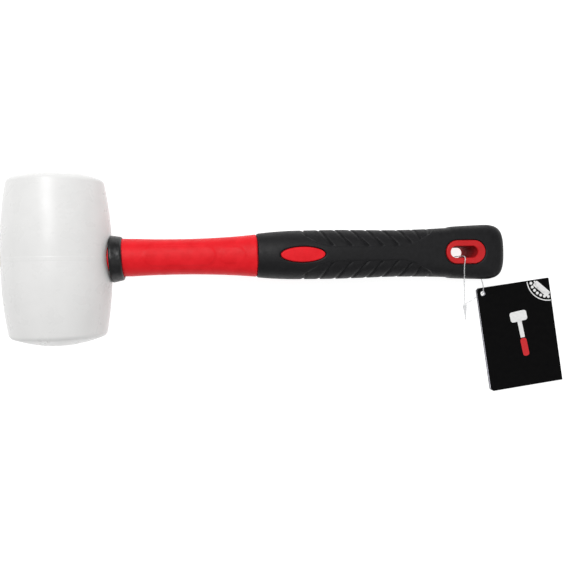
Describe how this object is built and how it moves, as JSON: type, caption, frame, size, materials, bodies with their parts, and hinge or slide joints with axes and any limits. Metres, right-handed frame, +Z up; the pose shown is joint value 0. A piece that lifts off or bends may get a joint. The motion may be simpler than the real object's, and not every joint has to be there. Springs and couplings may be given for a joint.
{
  "type": "rubber mallet",
  "caption": "Rubber mallet with a white barrel head, a red fibreglass-cored handle, a black ribbed grip with a hang slot, and a black booklet tag on a clear loop.",
  "frame": {"origin": "middle of the mallet's box, without the tag and its loop, on the surface that the mallet lies on", "axes": "+X from the head to the butt of the handle, +Y along the barrel of the head towards one striking face, +Z up from the surface"},
  "size_m": [0.3832, 0.1556, 0.069],
  "materials": {
    "head_rubber": "smooth moulded white rubber, satin",
    "collar_rubber": "black rubber, satin",
    "grip_rubber": "black overmoulded rubber with chevron grooves and a fine stipple",
    "jacket_plastic": "red moulded plastic, satin gloss",
    "fibreglass": "pultruded fibreglass rod",
    "epoxy": "cured epoxy",
    "nylon": "clear nylon",
    "tag_card": "black printed card, lightly varnished",
    "tag_paper": "white paper"
  },
  "bodies": {
    "mallet": {"rubber_head": "head_rubber", "collar": "collar_rubber", "eye_bond": "epoxy", "handle_core": "fibreglass", "handle_jacket": "jacket_plastic", "grip": "grip_rubber", "tag_loop": "nylon", "loop_lock": "nylon"},
    "tag": {"tag_cover": "tag_card", "tag_pages": "tag_paper"}
  },
  "joints": [
    {"name": "tag_swivel", "type": "hinge", "parent": "mallet", "child": "tag", "pos_m": [0.15764, -0.0295, 0.0023], "axis": [0, 0, 1], "range_deg": [-20, 30]}
  ]
}
